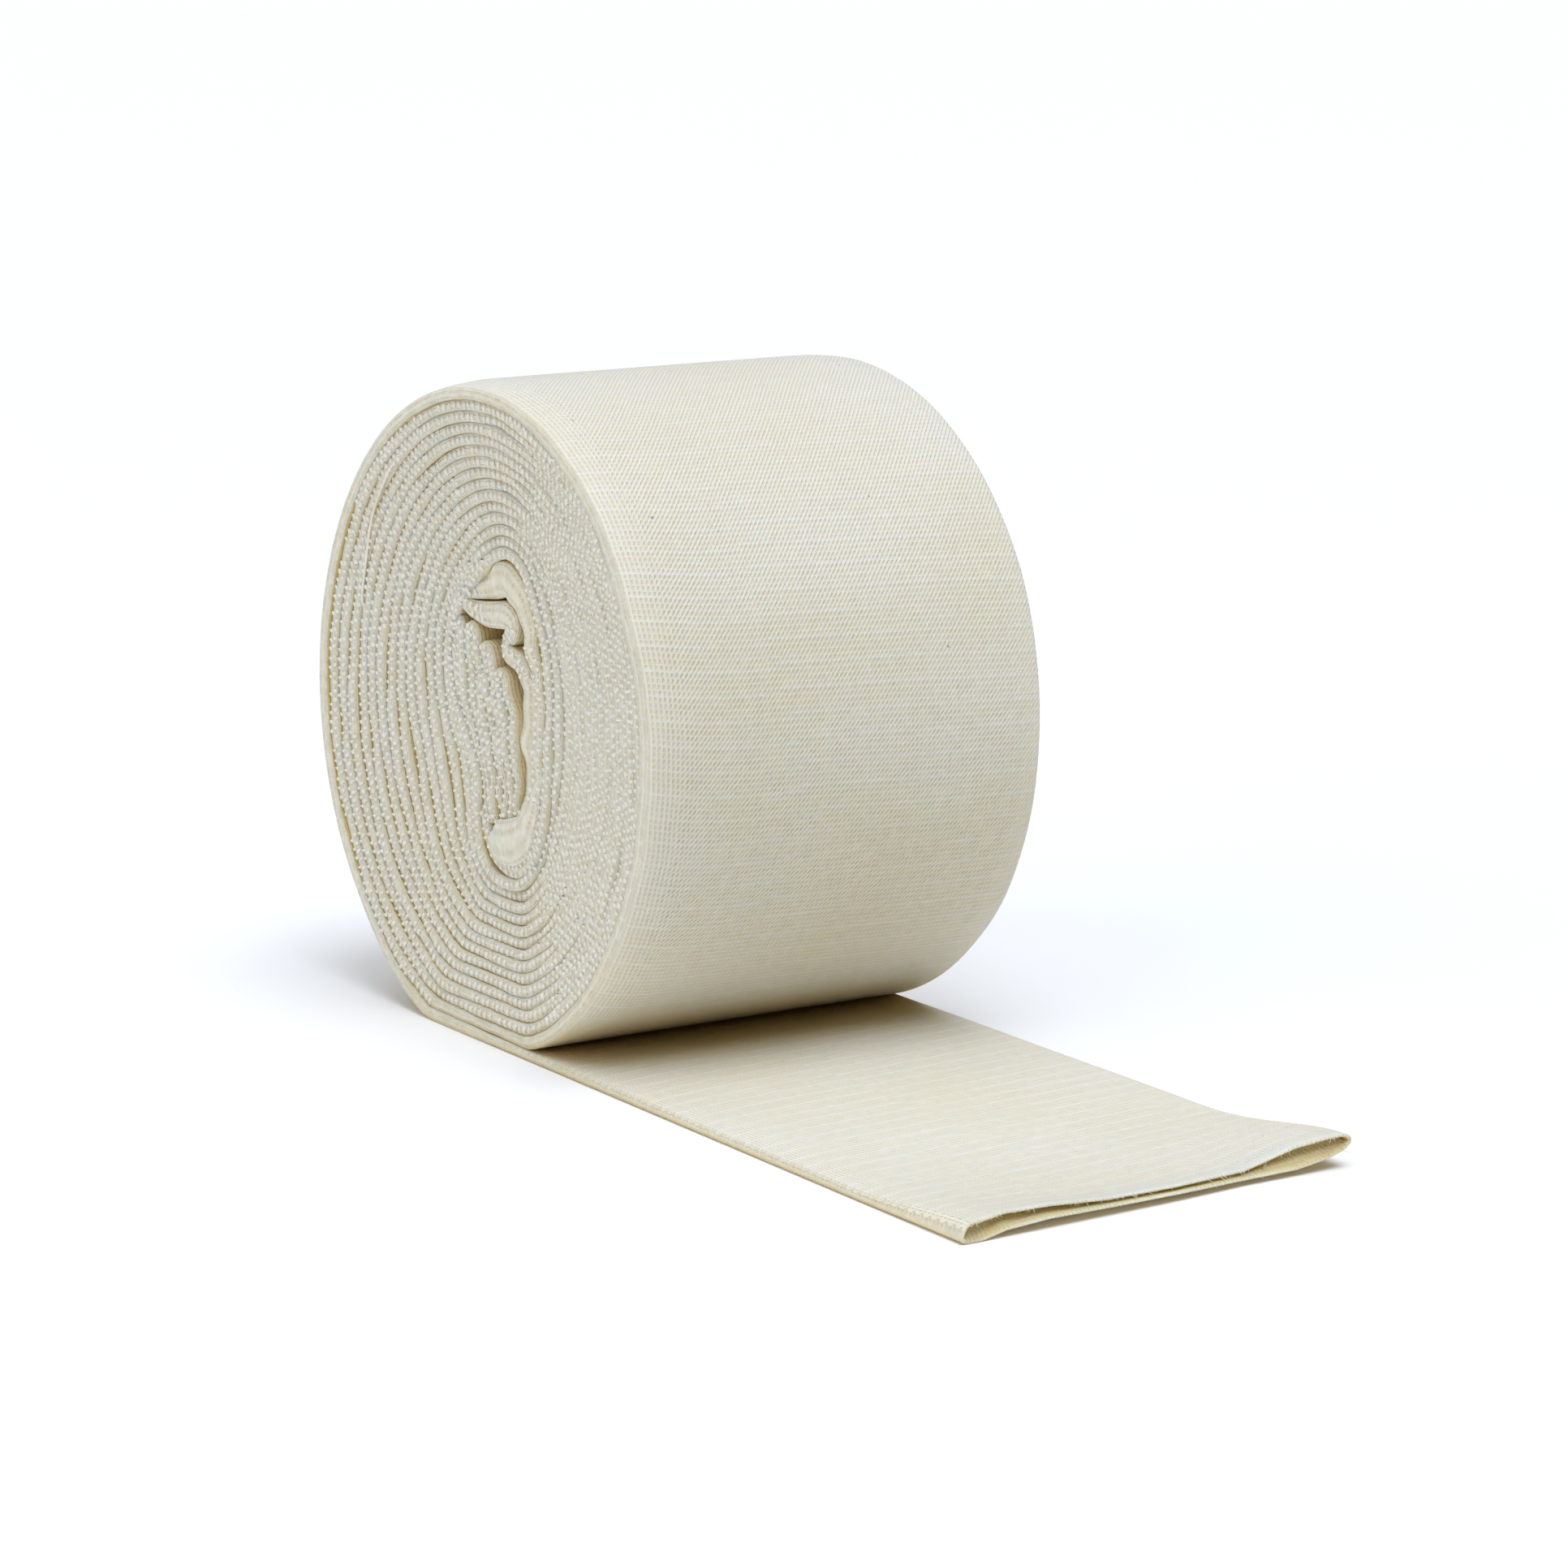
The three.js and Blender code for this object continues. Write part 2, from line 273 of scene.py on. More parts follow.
class StageSettings(bpy.types.PropertyGroup):
    focal: bpy.props.FloatProperty(
        name="Focal length", description="In pixels of the photo's frame", default=6258.92)
    place: bpy.props.FloatVectorProperty(
        name="Camera place", description="In the object's frame", default=(-0.46342, -0.66075, 0.22005),
        subtype="XYZ", unit="LENGTH")
    yaw: bpy.props.FloatProperty(
        name="Yaw", description="Turn of the view from +Y towards +X", default=0.608444604, subtype="ANGLE")
    pitch: bpy.props.FloatProperty(
        name="Pitch", description="Tilt of the view, up is positive", default=-0.211603429, subtype="ANGLE")
    roll: bpy.props.FloatProperty(
        name="Roll", description="Turn of the picture", default=0.0145728835, subtype="ANGLE")
    floor: bpy.props.StringProperty(
        name="Floor", description="sRGB hex colour of the floor", default="#FFFFFF")
    glow: bpy.props.StringProperty(
        name="Glow", description="sRGB hex colour of the light table under the floor's paint",
        default="#FFFFFF")
    floor_glow: bpy.props.FloatProperty(
        name="Floor glow", description="Strength of the light table under the floor's paint", default=0.04)
    key: bpy.props.FloatProperty(
        name="Lights", description="Share of the lights' full strength", default=1.0)
    sky: bpy.props.FloatProperty(
        name="Sky", description="Strength of the even light from all round", default=0.01)


def drift(place, what):
    """Smooth unevenness of one measure: seeded sine waves, summed and divided by the root of their number."""
    seed, size, waves = UNEVEN[what]
    phases = np.random.default_rng(seed).uniform(0, FULL_TURN, len(waves))
    total = sum(np.sin(FULL_TURN * place / wave + phase) for wave, phase in zip(waves, phases))
    return size * total / math.sqrt(len(waves))


def ease(value, start, end):
    """Nought before start, one after end, and three squares less two cubes of the share between."""
    share = np.clip((value - start) / (end - start), 0, 1)
    return share * share * (3 - 2 * share)


def between(value, rising, falling):
    """Eased up from nought to one over the first span, and down again over the second."""
    return ease(value, *rising) * (1 - ease(value, *falling))


def hump(value, centre, width):
    """A bell: one at the centre, falling off as e to the minus square of the distance over the width."""
    return np.exp(-((value - centre) / width) ** 2)


def wound_route():
    """The cloth's middle through the wound turns, as rows of forward, height, thickness, recess.

    Forward is minus the reach times the sine of the turn's angle, and height the axis less the rise times
    its cosine, while reach and rise shrink evenly with the turns. Turns at the floor lie in a stack. Two
    bells push the inner turns in at the lower back and out above it. The thickness fills the room between two
    turns. The recess grows evenly with the turns, and shrinks again past the dish."""
    cloth = bpy.context.scene.bandage_cloth
    layer = cloth.layer / MM
    turns = np.linspace(0, WOUND_TURNS, int(WOUND_TURNS * ROUTE["turn"]))
    angle = FULL_TURN * turns
    reach = OUTER_REACH - REACH_PITCH * (turns + REACH_LEAD)
    rise = OUTER_RISE - layer / 2 - RISE_PITCH * turns
    core = (turns / WOUND_TURNS) ** CORE_GROWTH
    bells = (bell["shift"] * hump(angle % FULL_TURN, bell["angle"], bell["spread"]) for bell in (PUSH, BULGE))
    height = np.maximum(AXIS_HEIGHT - rise * np.cos(angle), layer / 2 + UNDER_PITCH * turns)
    upright = np.where(np.cos(angle) > 0, UNDER_PITCH, RISE_PITCH)
    room = np.hypot(REACH_PITCH * np.sin(angle), upright * np.cos(angle))
    on_floor = turns < 0.25
    thickness = np.maximum(cloth.fill * room, np.where(on_floor, layer, 0))
    recess = DISH["depth"] / DISH["turns"] * turns
    past_dish = DISH["depth"] - DISH["step_out"] * (turns - DISH["turns"])
    recess = np.where(turns > DISH["turns"], past_dish, recess)
    return np.stack([core * sum(bells) - reach * np.sin(angle), height, thickness, recess], axis=1)


def smooth_through(rows, steps):
    """A curve through the rows: each stretch is the Catmull-Rom cubic of its ends and their neighbours."""
    ends = np.vstack([2 * rows[0] - rows[1], rows, 2 * rows[-1] - rows[-2]])
    before, start, end, after = (ends[i:len(ends) - 3 + i][:, None] for i in range(4))
    t = np.linspace(0, 1, steps, endpoint=False)[:, None]
    linear_part = (end - before) * t
    square_part = (2 * before - 5 * start + 4 * end - after) * t ** 2
    cube_part = (3 * start - before - 3 * end + after) * t ** 3
    curve = start + 0.5 * (linear_part + square_part + cube_part)
    return np.vstack([curve.reshape(-1, rows.shape[1]), rows[-1:]])


def pleat_rows():
    """Rows of the pleats packed side by side, which run up and down in turn from the left one to the right.

    A pleat's forward place is shared out evenly between the left and the right pleat's, at some steps of the
    way up from its own lowest point to its highest. Its thickness fills the room between two pleats."""
    share, left, right, recess = np.array(PLEAT_EDGES).T
    pleat = np.linspace(0, 1, len(PLEAT_TOPS))[:, None]
    bottom, top = (np.array(heights)[:, None] for heights in (PLEAT_BOTTOMS, PLEAT_TOPS))
    forward = left + (right - left) * pleat
    height = bottom + (top - bottom) * share
    room = PLEAT_FILL * (right - left) / (len(PLEAT_TOPS) - 1)
    rows = np.stack(np.broadcast_arrays(forward, height, room, recess), axis=-1)
    rows[1::2] = rows[1::2, ::-1].copy()
    return rows.reshape(-1, rows.shape[-1])


def cloth_route():
    """The whole cloth from its pulled-out cut end to its cut start, with rings evenly spaced.

    The tail is a straight line on the floor, the turns come from wound_route, and the folded start is a
    smooth curve through the way in, the pleats and the way over and out. The joined line is resampled by its
    own length, each point becomes the mean of its neighbours, and the rings stand closer at both ends.
    Returns the length along the cloth and the rows."""
    cloth = bpy.context.scene.bandage_cloth
    layer = cloth.layer / MM
    tail_forward = np.linspace(TAIL_REACH, 1, ROUTE["tail"])
    tail = np.stack(np.broadcast_arrays(tail_forward, layer / 2, layer, 0.0), axis=1)
    wound = wound_route()
    folds = np.vstack([WAY_IN, pleat_rows(), OVER_AND_OUT]) + [0, AXIS_HEIGHT, 0, 0]
    start = smooth_through(np.vstack([wound[-1:], folds]), ROUTE["stretch"])
    line = np.vstack([tail, wound, start])
    length = np.r_[0, np.cumsum(np.hypot(*np.diff(line[:, :2], axis=0).T))]
    fine = np.arange(0, length[-1], ROUTE["spacing"])
    rows = np.stack([np.interp(fine, length, column) for column in line.T], axis=1)
    padded = np.pad(rows, ((ROUTE["neighbours"], ROUTE["neighbours"]), (0, 0)), mode="edge")
    kernel = np.ones(2 * ROUTE["neighbours"] + 1) / (2 * ROUTE["neighbours"] + 1)
    rows = np.stack([np.convolve(column, kernel, "valid") for column in padded.T], axis=1)
    near_ends = 1 - ease(fine, *SPANS["close_rings"]) + ease(fine - fine[-1], *SPANS["close_core"])
    density = (1 - near_ends) / (cloth.ring_step / MM) + near_ends / (cloth.fine_step / MM)
    count = np.cumsum(density) * ROUTE["spacing"]
    place = np.interp(np.arange(0, count[-1]), count, fine)
    return place, np.stack([np.interp(place, fine, column) for column in rows.T], axis=1)


def section_shape():
    """The flattened tube's section, once round from its left fold, as four arrays.

    Each fold is half an ellipse and each ply a straight run. The arrays are the share of the width from the
    left, the shares of the left and of the right fold's rounding, and the share of half the thickness, which
    is plus on the inner ply."""
    quarter = np.linspace(0, math.pi / 2, LEFT_STEPS, endpoint=False)
    right_quarter = np.linspace(math.pi / 2, 0, RIGHT_STEPS + 1)[1:]
    flat = np.array(FLAT_SHARES)
    width = np.r_[np.zeros(LEFT_STEPS), flat, np.ones(RIGHT_STEPS)]
    left = np.r_[1 - np.cos(quarter), np.ones(FLAT_STEPS + 1 + RIGHT_STEPS)]
    right = np.r_[np.zeros(LEFT_STEPS + FLAT_STEPS + 1), np.cos(right_quarter)]
    share = np.r_[np.sin(quarter), np.ones(FLAT_STEPS + 1), np.sin(right_quarter)]
    back = slice(-2, 0, -1)
    mirrored = [np.r_[a, a[back]] for a in (width, left, right)]
    return (*mirrored, np.r_[share, -share[back]])


def laid_cloth():
    """The cloth's rings as laid: the route with the unevenness of hand rolling, and each ring's normal.

    The left folds wander in and out, and the turns' thickness varies a little. The folded start wanders more.
    The normal is the direction along the cloth turned a quarter, and points to the inner ply."""
    place, rows = cloth_route()
    direction = np.gradient(rows[:, :2], place, axis=0)
    direction /= np.linalg.norm(direction, axis=1)[:, None]
    normal = np.stack([direction[:, 1], -direction[:, 0]], axis=1)
    wound = ease(place, *SPANS["hand_rolled"])
    core = ease(place - place[-1], *SPANS["core"])
    rows[:, 3] += wound * (drift(place, "left_fold") + drift(place, "left_fold_fine"))
    rows[:, 3] += core * drift(place, "core_fold")
    rows[:, 2] *= 1 + wound * drift(place, "thickness")
    return place, rows, normal


def fold_reach(place, thickness):
    """How far the rounding of a side fold reaches into the cloth, in millimetres.

    It is small where the turns are packed, larger where they lie thin and apart or puff up thick in the core,
    and opens at the mouth."""
    cloth = bpy.context.scene.bandage_cloth
    packed = cloth.fold / MM + FOLD_GROWTH["loose"] * np.clip(REACH_PITCH - thickness, *FOLD_GROWTH["room"])
    puffed = FOLD_GROWTH["puffed"] * ease(thickness, *FOLD_GROWTH["thick"])
    return packed + puffed + FOLD_GROWTH["mouth"] * (1 - ease(place, *SPANS["open_fold"]))


def right_fold(place):
    """Where the right fold's crest lies: it wanders either side of a line a little inside the full width."""
    return HALF_WIDTH - UNEVEN["right_fold"][1] - drift(place, "right_fold")


def place_section(place, rows, normal, shape):
    """Points of the section on every ring: x, forward and height, in millimetres, as rings by section arrays.

    x runs from the left fold to the right one, and each point stands off the middle by its share of half the
    thickness along the ring's normal."""
    width, left, right, share = shape
    fold = fold_reach(place, rows[:, 2])[:, None]
    left_edge = -HALF_WIDTH + rows[:, 3:4]
    right_edge = right_fold(place)[:, None]
    run = right_edge - left_edge - 2 * fold
    x = left_edge + fold * left + run * width + fold * right
    offset = rows[:, 2:3] / 2 * share
    return x, rows[:, 0:1] + normal[:, 0:1] * offset, rows[:, 1:2] + normal[:, 1:2] * offset


def settle(place, x, forward, height, share):
    """Bends laid cloth to its settled shape: the tail's end, the roll's taper and its drooping rims.

    The roll widens evenly towards its right end. At each rim the turns lean in towards the axis by the square
    of the share left to the rim, the outer turns the most."""
    on_tail = 1 - ease(place, *SPANS["tail"])
    height = height + on_tail * tail_lift(x, forward, share)
    forward = forward + on_tail * ease(forward, EDGE_LINE["from"], TAIL_REACH) * edge_line(x, share)
    forward = forward * (1 + END_TAPER * x / HALF_WIDTH * ease(place, *SPANS["taper"]))
    up = height - AXIS_HEIGHT
    radius = np.hypot(forward, up)
    to_rims = (np.clip(1 - (HALF_WIDTH + rim["side"] * x) / rim["width"], 0, 1) for rim in RIMS)
    lean = sum(rim["droop"] * to_rim ** 2 for rim, to_rim in zip(RIMS, to_rims))
    lean = lean * ease(radius, *RIM_RADIUS) * ease(height, *RIM_HEIGHT) * (1 - on_tail)
    return x, forward * (1 - lean / radius), AXIS_HEIGHT + up * (1 - lean / radius)


def mesh_from_grid(name, points, uvs, marks):
    """A closed mesh from a grid of rings by section points, with a UV map in metres and the marks by name."""
    rings, count = points.shape[:2]
    index = np.arange(rings * count).reshape(rings, count)
    following = np.roll(index, -1, axis=1)
    quads = np.stack([index[:-1], following[:-1], following[1:], index[1:]], axis=-1).reshape(-1, 4)
    mesh = bpy.data.meshes.new(name)
    caps = [index[0][::-1].tolist(), index[-1].tolist()]
    mesh.from_pydata(points.reshape(-1, 3).tolist(), [], quads.tolist() + caps)
    u = np.stack([uvs[:-1, :-1], uvs[:-1, 1:], uvs[1:, 1:], uvs[1:, :-1]], axis=2).reshape(-1, 2)
    u = np.vstack([u, uvs[0, :-1][::-1], uvs[-1, :-1]])
    layer = mesh.uv_layers.new(name="ClothUV")
    layer.data.foreach_set("uv", u.astype(np.float32).ravel())
    mesh.polygons.foreach_set("use_smooth", np.ones(len(mesh.polygons), bool))
    for mark, values in marks.items():
        attribute = mesh.attributes.new(mark, "FLOAT", "POINT")
        attribute.data.foreach_set("value", values.astype(np.float32).ravel())
    mesh.update()
    return mesh


def tail_lift(x, forward, share):
    """How far the pulled-out end stands off the floor.

    The far corner curls up as a power of its nearness to the corner. The upper ply lifts off the lower one at
    both corners, and the lower one drops at the far corner. Between them the upper ply is pressed down, with
    a shallow trough behind. The cut edge stands off the floor left of the curl, and its lower ply is crumpled
    there."""
    cloth = bpy.context.scene.bandage_cloth
    upper = np.clip(share, 0, 1)
    lower = np.clip(-share, 0, 1)
    near_end = ease(forward, CURL["from"], TAIL_REACH)
    to_corner = np.clip((x - CURL["inner"]) / (HALF_WIDTH - CURL["inner"]), 0, 1)
    curl = cloth.curl / MM * near_end ** CURL["grows"] * to_corner ** CURL["bends"]
    pressed = -PRESSED["depth"] * ease(forward, PRESSED["from"], TAIL_REACH) * upper
    trough = -TROUGH["depth"] * hump(forward, *TROUGH["forward"]) * hump(x, *TROUGH["across"]) * upper
    opening = ease(forward, MOUTH["from"], TAIL_REACH) ** MOUTH["grows"]
    gape = cloth.gape / MM * (hump(x, *MOUTH["near"]) + MOUTH["far_share"] * hump(x, *MOUTH["far"]))
    dropped = -MOUTH["drop"] * opening * hump(x, *MOUTH["dropped"]) * lower
    last = ease(forward, CUT_EDGE["from"], TAIL_REACH) ** 2
    off_floor = CUT_EDGE["rise"] * last * between(x, *CUT_EDGE["rises"])
    wave = drift(x + CUT_EDGE["slant"] * forward, "cut_edge")
    crumpled = last * wave * between(x, *CUT_EDGE["crumples"]) * (share < 0)
    return curl + pressed + trough + opening * gape * upper + off_floor + crumpled + dropped


def edge_line(x, share):
    """The cut end's line across the tube, in millimetres beyond the tail's reach.

    It waves by two bells, falls back at the far corner, and the upper ply is cut back behind the lower one
    between the folds."""
    wavy = sum(size * hump(x, middle, width) for size, middle, width in EDGE_LINE["bells"])
    corner = EDGE_LINE["corner"] * ease(x, *EDGE_LINE["corner_from"])
    set_back = EDGE_LINE["set_back"] * np.clip(share, 0, 1) * between(x, *EDGE_LINE["sets_back"])
    return wavy - corner - set_back


def build_cloth():
    """The rolled tube: inner wall at the mouth, outer surface, inner wall at the start, as one grid of rings.

    Returns the points, their UVs (round the tube and along it), their marks and the length in metres. The
    marks are how far a point is inside the tube, and how much painted shade it gets between two turns beside
    their folds, which falls off as a power of its share of the thickness and with the distance to the fold."""
    ply = bpy.context.scene.bandage_cloth.ply / MM
    place, rows, normal = laid_cloth()
    shape = section_shape()
    share = shape[3]
    along = place[:, None]
    x, forward, height = settle(along, *place_section(place, rows, normal, shape), share)
    outer = np.stack([x, AXIS_Y - forward, np.maximum(height, 0)], axis=-1)
    section = np.stack([x[0], rows[0, 2] / 2 * share], axis=1)
    steps = np.linalg.norm(np.diff(section, axis=0, append=section[:1]), axis=1)
    girth = np.r_[0, np.cumsum(steps)] * (4 * HALF_WIDTH) / steps.sum()
    uv = np.stack(np.broadcast_arrays(girth, along), axis=-1) * MM
    mouth = int(np.searchsorted(place, MOUTH["wall"]))
    wall = inner_wall(outer[:mouth], ply, ease(place[:mouth], 0.0, MOUTH["shut_by"])[:, None, None])
    rim = (wall[:1] + outer[:1]) / 2 - [0, MOUTH["rim"], 0]
    start_wall = inner_wall(outer[-START_WALL:][::-1], ply, 0.0)
    points = np.concatenate([wall[::-1], rim, outer, start_wall]) * MM
    uvs = np.concatenate([uv[:mouth][::-1], uv[:1], uv, uv[-START_WALL:][::-1]])
    inside = np.zeros(points.shape[:2])
    inside[:mouth] = 1
    inside[-START_WALL:] = 1
    # Painted shade between two turns beside their folds: it grows towards either ply and fades away from the
    # fold, strongest on the inner side of the outermost turns
    to_fold = np.minimum(x - x.min(axis=1, keepdims=True), HALF_WIDTH - x)
    flank = np.abs(share) ** GROOVE_SHADE["power"] * (1 - ease(to_fold, *GROOVE_SHADE["near_fold"]))
    inner_side = GROOVE_SHADE["depth"] + GROOVE_SHADE["outermost"] * (1 - ease(along, *SPANS["outermost"]))
    inner_side = ease(along, *SPANS["under_turn"]) * inner_side
    outer_side = GROOVE_SHADE["depth"] * ease(along, *SPANS["over_turn"])
    shade_between_turns = flank * np.where(share > 0, inner_side, outer_side)
    painted_groove_shade = np.zeros(points.shape[:2])
    painted_groove_shade[mouth + 1:-START_WALL] = shade_between_turns
    return points, uvs, {"inside": inside, "painted_groove_shade": painted_groove_shade}, place[-1] * MM


def inner_wall(ring, ply, closed):
    """The inside of the tube for some rings: the outer section shrunk by the ply towards its own middle line.

    Every point moves towards its mirror point on the other ply by the ply's thickness, and never past the
    middle of the two. The lower ply's inside rises to the upper one's by the share closed, so that the tube
    is pressed shut behind its mouth. The folds move in by as much as the ply, evenly over their rounding."""
    count = ring.shape[1]
    across = ring[:, -np.arange(count) % count] - ring
    size = np.linalg.norm(across, axis=-1, keepdims=True)
    own = np.minimum(ply / np.maximum(size, 1e-6), 0.49)
    lower = (np.arange(count) > count // 2)[:, None]
    inside = ring + across * (own + lower * closed * np.maximum(0.97 - 2 * own, 0))
    left = ring[:, :1, :1]
    right = ring[:, count // 2, 0][:, None, None]
    inside[:, :, :1] += ply * (1 - np.clip((ring[:, :, :1] - left) / (4 * ply), 0, 1))
    inside[:, :, :1] -= ply * (1 - np.clip((right - ring[:, :, :1]) / (4 * ply), 0, 1))
    return inside


def strands(name, paths, radii, sides):
    """Many short yarns as one mesh: each path carries a round section whose radius varies along it.

    The section's first axis is the path's direction crossed with a slanted line, and its second is the
    direction crossed with the first. Paths are strands by points by three, and radii strands by points."""
    along = np.gradient(paths, axis=1)
    along /= np.linalg.norm(along, axis=-1, keepdims=True)
    first = np.cross(along, SLANTED)
    first /= np.linalg.norm(first, axis=-1, keepdims=True)
    second = np.cross(along, first)
    turn = np.arange(sides) * FULL_TURN / sides
    ring = np.cos(turn)[:, None] * first[:, :, None] + np.sin(turn)[:, None] * second[:, :, None]
    points = paths[:, :, None] + radii[:, :, None, None] * ring
    count, length = paths.shape[:2]
    index = np.arange(count * length * sides).reshape(count, length, sides)
    following = np.roll(index, -1, axis=2)
    quads = np.stack([index[:, :-1], following[:, :-1], following[:, 1:], index[:, 1:]], axis=-1)
    caps = np.concatenate([index[:, 0, ::-1], index[:, -1]])
    mesh = bpy.data.meshes.new(name)
    faces = quads.reshape(-1, 4).tolist() + caps.tolist()
    mesh.from_pydata((points.reshape(-1, 3) * MM).tolist(), [], faces)
    mesh.polygons.foreach_set("use_smooth", np.ones(len(mesh.polygons), bool))
    mesh.update()
    return mesh


def fold_stitches(side, seed):
    """The yarn that stands proud round a side fold, as short fat beads that lie across it.

    Thick turns carry two staggered lines of them, either side of the fold's crest, and thin ones a single
    line. Each bead follows the fold's half ellipse and is thickest in the middle. The pulled-out end, the
    outermost turn and the thick soft folds of the core have none. side is -1 for the left fold and 1 for the
    right one."""
    cloth = bpy.context.scene.bandage_cloth
    source = np.random.default_rng(seed)
    place, rows, normal = laid_cloth()
    pitch = cloth.bead_pitch / MM
    at = np.arange(BEADS["from"], place[-1] - 1, pitch / 2)
    line = np.where(np.arange(len(at)) % 2, 1.0, -1.0)
    at = at + source.uniform(-BEADS["shifted"], BEADS["shifted"], len(at)) * pitch
    thickness = np.interp(at, place, rows[:, 2])
    doubled = thickness > BEADS["doubled_over"]
    kept = source.uniform(size=len(at)) > BEADS["missing"]
    shown = kept & (doubled | (line > 0)) & (thickness < BEADS["soft_over"])
    at, line, doubled = at[shown], line[shown], doubled[shown]
    forward, height, thick, recess = (np.interp(at, place, column)[:, None] for column in rows.T)
    across = [np.interp(at, place, column)[:, None] for column in normal.T]
    along_bead = np.linspace(-1, 1, len(BEAD_SWELL))
    wandering = source.uniform(-BEADS["wanders"], BEADS["wanders"], len(at))
    middle = np.where(doubled, BEADS["line_at"] * line, 0.0) + wandering
    half = np.where(doubled, BEADS["doubled_half"], BEADS["single_half"])
    angle = np.radians(middle[:, None] + half[:, None] * along_bead)
    right_crest = np.interp(at, place, right_fold(place))[:, None]
    crest_shade = -HALF_WIDTH + recess if side < 0 else right_crest
    x = crest_shade - side * fold_reach(at, thick[:, 0])[:, None] * (1 - np.cos(angle))
    offset = thick / 2 * np.sin(angle) * BEADS["proud"]
    lean = source.uniform(-BEADS["lean"], BEADS["lean"], (len(at), 1)) * along_bead
    forward = forward + across[0] * offset - across[1] * lean
    height = height + across[1] * offset + across[0] * lean
    x, forward, height = settle(at[:, None], x, forward, height, np.sin(angle))
    paths = np.stack([x, AXIS_Y - forward, np.maximum(height, BEADS["lowest"])], axis=-1)
    swell = np.array(BEAD_SWELL) * source.uniform(*BEADS["size"], (len(at), 1))
    return strands("fold_stitches", paths, swell * cloth.bead / MM / 2, BEADS["sides"])


def loose_thread():
    """A pale end of yarn that lies over the left end's outer turns: a round section along a smooth curve.

    It lies on the dish, whose depth is worked out from its distance to the axis, and dips in at both ends."""
    bends = smooth_through(np.array(THREAD_BENDS), THREAD["steps"])
    forward, height = bends.T
    turns = (OUTER_REACH - np.hypot(forward, height * OUTER_REACH / OUTER_RISE)) / REACH_PITCH
    share = np.linspace(0, 1, len(bends))
    near_ends = hump(share, 0.0, THREAD["tucked_share"]) + hump(share, 1.0, THREAD["tucked_share"])
    dished = DISH["depth"] / DISH["turns"] * turns
    x = -HALF_WIDTH + dished - THREAD["proud"] + THREAD["tucked"] * near_ends
    path = np.stack([x, AXIS_Y - forward, AXIS_HEIGHT + height], axis=1)[None]
    return strands("loose_thread", path, np.full(path.shape[:2], THREAD["radius"]), THREAD["sides"])


def cut_edge_fibres():
    """Cut ends of yarn along the open end: short bent hairs, closely set on the upper ply, few on the lower.

    Each hair starts on the cut edge, runs out along the tube by a share of its length, and bends sideways and
    down by the square of that share. The hairs are longest once for every two columns of stitches."""
    source = np.random.default_rng(FIBRES["seed"])
    wale = bpy.context.scene.bandage_knit.wale / MM
    points, _, marks, _ = build_cloth()
    edge = points[int(marks["inside"][:-START_WALL, 0].sum())] / MM
    closed = np.vstack([edge, edge[:1]])
    length = np.r_[0, np.cumsum(np.linalg.norm(np.diff(closed, axis=0), axis=1))]
    count = FIBRES["upper"] + FIBRES["lower"]
    upper = np.arange(count) < FIBRES["upper"]
    at = source.uniform(FIBRES["clear_of_folds"], 0.5 - FIBRES["clear_of_folds"], count) * length[-1]
    at = np.where(upper, at, length[-1] - at)
    root = np.stack([np.interp(at, length, column) for column in closed.T], axis=1)
    size = source.gamma(FIBRES["shape"], FIBRES["scale"], count).clip(*FIBRES["length"])
    size *= 0.6 + 0.5 * np.abs(np.sin(math.pi * at / wale / 2))
    down = [source.normal(*FIBRES[ply], count) for ply in ("upper_down", "lower_down")]
    down = np.where(upper, *down)
    out = np.stack([source.normal(0, FIBRES["sideways"], count), -np.ones(count), -down], axis=1)
    bend = source.normal(0, FIBRES["bend"], (count, 3)) - [0, 0, FIBRES["droop"]]
    share = np.linspace(0, 1, len(FIBRE_RADII))[None, :, None]
    run = size[:, None, None] * (share * out[:, None] + share ** 2 * bend[:, None])
    paths = root[:, None] + [0, FIBRES["root"], 0] + run
    paths[..., 2] = np.maximum(paths[..., 2], FIBRES["lowest"])
    radii = np.broadcast_to(np.array(FIBRE_RADII), paths.shape[:2])
    return strands("cut_edge_fibres", paths, radii, FIBRES["sides"])


def add_node(tree, kind, *values, inputs=None, **settings):
    """Adds a shader node, sets its properties and fills its inputs.

    The kind may be followed by the node's mode. The values fill the inputs that the node shows, in order, and
    the dict fills inputs by name. A node as a value stands for its first shown output. Outputs are linked."""
    kind, _, mode = kind.partition(" ")
    node = tree.nodes.new("ShaderNode" + kind)
    if mode:
        setattr(node, NODE_MODES[kind], mode)
    for name, value in settings.items():
        setattr(node, name, value)
    filled = list(zip([socket for socket in node.inputs if socket.enabled], values))
    filled += [(node.inputs[name], value) for name, value in (inputs or {}).items()]
    for socket, value in filled:
        if isinstance(value, bpy.types.Node):
            value = next(output for output in value.outputs if output.enabled)
        if isinstance(value, bpy.types.NodeSocket):
            tree.links.new(value, socket)
        else:
            socket.default_value = value
    return node


